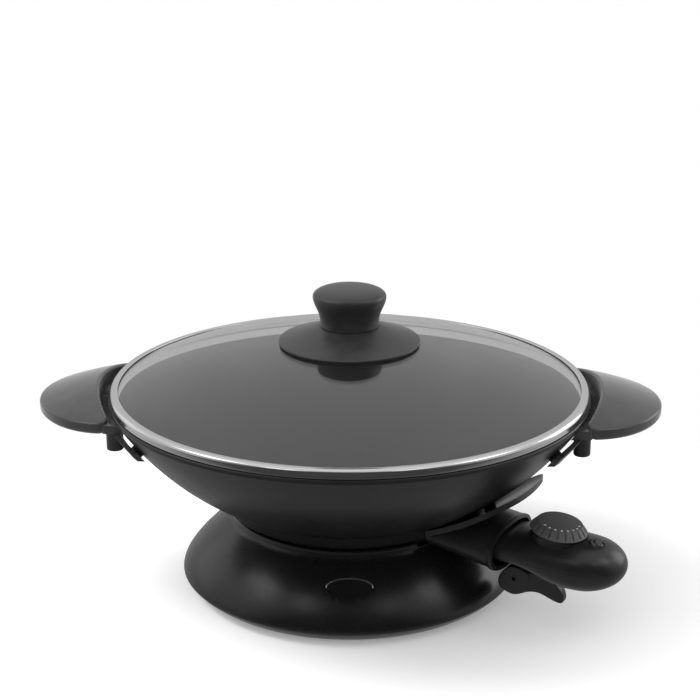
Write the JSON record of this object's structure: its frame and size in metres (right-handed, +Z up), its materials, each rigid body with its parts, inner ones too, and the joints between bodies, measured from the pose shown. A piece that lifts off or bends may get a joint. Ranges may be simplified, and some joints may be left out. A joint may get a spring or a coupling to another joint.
{
  "type": "electric wok",
  "caption": "Electric wok: shallow non-stick pan with a glass lid and side handles on a round pedestal base, heated by a tube element and set by a pull-out thermostat probe with a dial.",
  "frame": {"origin": "on the surface the wok stands on, under the middle of the object's outline box", "axes": "+Z up; +X through the right-hand handle, so the handles lie on the X axis; -Y is the front, with the badge place"},
  "size_m": [0.46, 0.356, 0.2275],
  "materials": {
    "nonstick_inside": "cast aluminium with a satin charcoal non-stick coating",
    "dark_metal": "cast aluminium with a dark high-temperature coating",
    "black_phenolic": "satin moulded phenolic",
    "black_gloss": "moulded, semi-gloss",
    "tempered_glass": "clear tempered",
    "stainless": "bright rolled stainless steel",
    "zinc_steel": "zinc plated",
    "nickel_steel": "nickel plated",
    "aluminium": "plain",
    "brass": "turned",
    "rubber": "moulded, matt",
    "silicone": "translucent grey silicone",
    "ceramic": "fired steatite",
    "lens_plastic": "tinted clear acrylic",
    "white_print": "white filled marks"
  },
  "bodies": {
    "wok": {"wok_pan": "nonstick_inside", "heating_element": "nickel_steel", "terminal_pins": "nickel_steel", "terminal_insulators": "ceramic", "guard_plate": "dark_metal", "probe_shroud": "black_phenolic", "shroud_screws": "zinc_steel", "right_handle": "black_phenolic", "left_handle": "black_phenolic", "right_handle_bracket": "black_phenolic", "left_handle_bracket": "black_phenolic", "handle_screws": "zinc_steel", "bracket_rivets": "aluminium", "base_shell": "black_gloss", "base_seat_ring": "black_gloss", "base_screws": "zinc_steel", "rubber_feet": "rubber", "base_badge": "black_gloss"},
    "lid": {"lid_glass": "tempered_glass", "lid_rim_band": "stainless", "lid_knob": "black_phenolic", "knob_insert": "brass", "knob_heat_disc": "black_phenolic", "knob_gaskets": "silicone", "knob_washer": "stainless", "knob_screw": "stainless"},
    "probe": {"probe_upper_housing": "black_phenolic", "probe_lower_housing": "black_phenolic", "housing_screws": "zinc_steel", "sensing_rod": "nickel_steel", "contact_sleeves": "brass", "contact_carrier": "ceramic", "thermostat_frame": "zinc_steel", "bimetal_blade": "nickel_steel", "contact_blades": "brass", "contact_points": "nickel_steel", "ceramic_spacers": "ceramic", "dial_bushing": "brass", "indicator_lens": "lens_plastic", "indicator_lamp": "lens_plastic", "cord_gland": "rubber", "trigger_pin": "zinc_steel"},
    "dial": {"control_dial": "black_phenolic", "dial_marks": "white_print", "dial_shaft": "nickel_steel"},
    "trigger": {"release_trigger": "black_phenolic"}
  },
  "joints": [
    {"name": "lid_lift", "type": "slide", "parent": "wok", "child": "lid", "axis": [0, 0, 1], "range_m": [0, 0.15]},
    {"name": "probe_pull", "type": "slide", "parent": "wok", "child": "probe", "axis": [0.8829, -0.4695, 0], "range_m": [0, 0.12]},
    {"name": "dial_turn", "type": "hinge", "parent": "probe", "child": "dial", "pos_m": [0.15134, -0.08047, 0.073], "axis": [0.1229, -0.0653, 0.9903], "range_deg": [0, 300]},
    {"name": "trigger_squeeze", "type": "hinge", "parent": "probe", "child": "trigger", "pos_m": [0.12626, -0.06713, 0.033], "axis": [-0.4695, -0.8829, 0], "range_deg": [0, 7], "stiffness_Nm_per_rad": 0.5}
  ]
}
